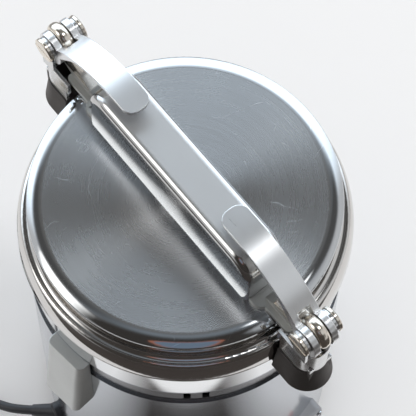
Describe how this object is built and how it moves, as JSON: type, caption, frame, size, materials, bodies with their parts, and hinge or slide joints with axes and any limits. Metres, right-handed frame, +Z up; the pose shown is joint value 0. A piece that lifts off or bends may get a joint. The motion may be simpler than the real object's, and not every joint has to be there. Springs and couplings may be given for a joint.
{
  "type": "analytical lab mill",
  "caption": "Upright stainless high-speed lab mill with a clamped lid, bridge bar, cam levers, knives in a round bowl, motor housing, timer panel and mains lead.",
  "frame": {"origin": "on the table under the centre of the round body", "axes": "+Z up along the rotor axis, the bridge bar along Y, the control panel facing -Y"},
  "size_m": [0.3261, 0.414, 0.4073],
  "materials": {
    "satin_steel": "satin brushed",
    "polished_steel": "mirror polished",
    "lever_metal": "satin, brushed lengthwise",
    "grip_grey": "satin grey",
    "knife_steel": "ground",
    "cast_alloy": "cast",
    "core_steel": "laminated",
    "copper_wire": "enamelled copper",
    "carbon": "matt",
    "black_rubber": "matt",
    "white_silicone": "satin",
    "black_plastic": "moulded",
    "red_plastic": "glossy",
    "panel_paint": "satin",
    "brass_pin": "plain",
    "zinc_screw": "zinc plated"
  },
  "bodies": {
    "base": {"rubber_feet": "black_rubber", "foot_screws": "zinc_screw", "base_plate": "satin_steel", "motor_housing": "satin_steel", "vent_ring": "satin_steel", "seat_plate": "satin_steel", "bowl_jacket": "polished_steel", "bowl": "polished_steel", "rolled_rim": "polished_steel", "grip_left": "grip_grey", "grip_right": "grip_grey", "stator_core": "core_steel", "stator_windings": "copper_wire", "upper_bracket": "cast_alloy", "lower_bracket": "cast_alloy", "brush_holders": "brass_pin", "carbon_brushes": "carbon", "through_bolts": "zinc_screw", "upper_bearing": "polished_steel", "lower_bearing": "polished_steel", "shaft_seal": "white_silicone", "control_panel": "panel_paint", "timer_body": "black_plastic", "switch_frame": "black_plastic", "breaker_body": "black_plastic", "cord_gland": "black_rubber", "mains_cord": "black_rubber", "cord_coil": "black_rubber", "mains_plug": "black_rubber", "plug_pins": "brass_pin"},
    "rotor": {"rotor_shaft": "polished_steel", "armature": "core_steel", "commutator": "copper_wire", "cooling_fan": "black_plastic", "lower_knife": "knife_steel", "upper_knife": "knife_steel", "knife_spacer": "polished_steel", "knife_washer": "polished_steel", "knife_nut": "polished_steel"},
    "lid": {"lid_shell": "satin_steel", "lid_liner": "polished_steel", "lid_gasket": "white_silicone", "bridge_bar": "polished_steel", "end_lug_front": "polished_steel", "end_lug_rear": "polished_steel"},
    "lever_front": {"cam_lever_front": "lever_metal", "pivot_pin_front": "polished_steel"},
    "lever_rear": {"cam_lever_rear": "lever_metal", "pivot_pin_rear": "polished_steel"},
    "clasp_front": {"clasp_front": "polished_steel"},
    "clasp_rear": {"clasp_rear": "polished_steel"},
    "timer_knob": {"timer_knob": "black_plastic"},
    "rocker": {"rocker": "red_plastic"},
    "breaker_button": {"breaker_button": "red_plastic"}
  },
  "joints": [
    {"name": "rotor_spin", "type": "hinge", "parent": "base", "child": "rotor", "pos_m": [0, 0, 0.2], "axis": [0, 0, 1], "continuous": true},
    {"name": "lid_lift", "type": "slide", "parent": "base", "child": "lid", "axis": [0, 0, 1], "range_m": [0, 0.03]},
    {"name": "lever_front_swing", "type": "hinge", "parent": "lid", "child": "lever_front", "pos_m": [0, -0.134, 0.371], "axis": [1, 0, 0], "range_deg": [0, 100]},
    {"name": "lever_rear_swing", "type": "hinge", "parent": "lid", "child": "lever_rear", "pos_m": [0, 0.134, 0.371], "axis": [-1, 0, 0], "range_deg": [0, 100]},
    {"name": "clasp_front_swing", "type": "hinge", "parent": "lid", "child": "clasp_front", "pos_m": [0, -0.134, 0.371], "axis": [-1, 0, 0], "range_deg": [0, 60]},
    {"name": "clasp_rear_swing", "type": "hinge", "parent": "lid", "child": "clasp_rear", "pos_m": [0, 0.134, 0.371], "axis": [1, 0, 0], "range_deg": [0, 60]},
    {"name": "timer_turn", "type": "hinge", "parent": "base", "child": "timer_knob", "pos_m": [-0.021, -0.115, 0.056], "axis": [0, 1, 0], "range_deg": [0, 300]},
    {"name": "power_rocker", "type": "hinge", "parent": "base", "child": "rocker", "pos_m": [0.022, -0.1125, 0.0655], "axis": [-1, 0, 0], "range_deg": [0, 16]},
    {"name": "breaker_press", "type": "slide", "parent": "base", "child": "breaker_button", "axis": [0, 1, 0], "range_m": [0, 0.0025], "stiffness_N_per_m": 600}
  ],
  "couplings": [
    {"joint": "clasp_front_swing", "follows": "lid_lift", "rad_per_m": 34.907},
    {"joint": "clasp_rear_swing", "follows": "lid_lift", "rad_per_m": 34.907}
  ]
}
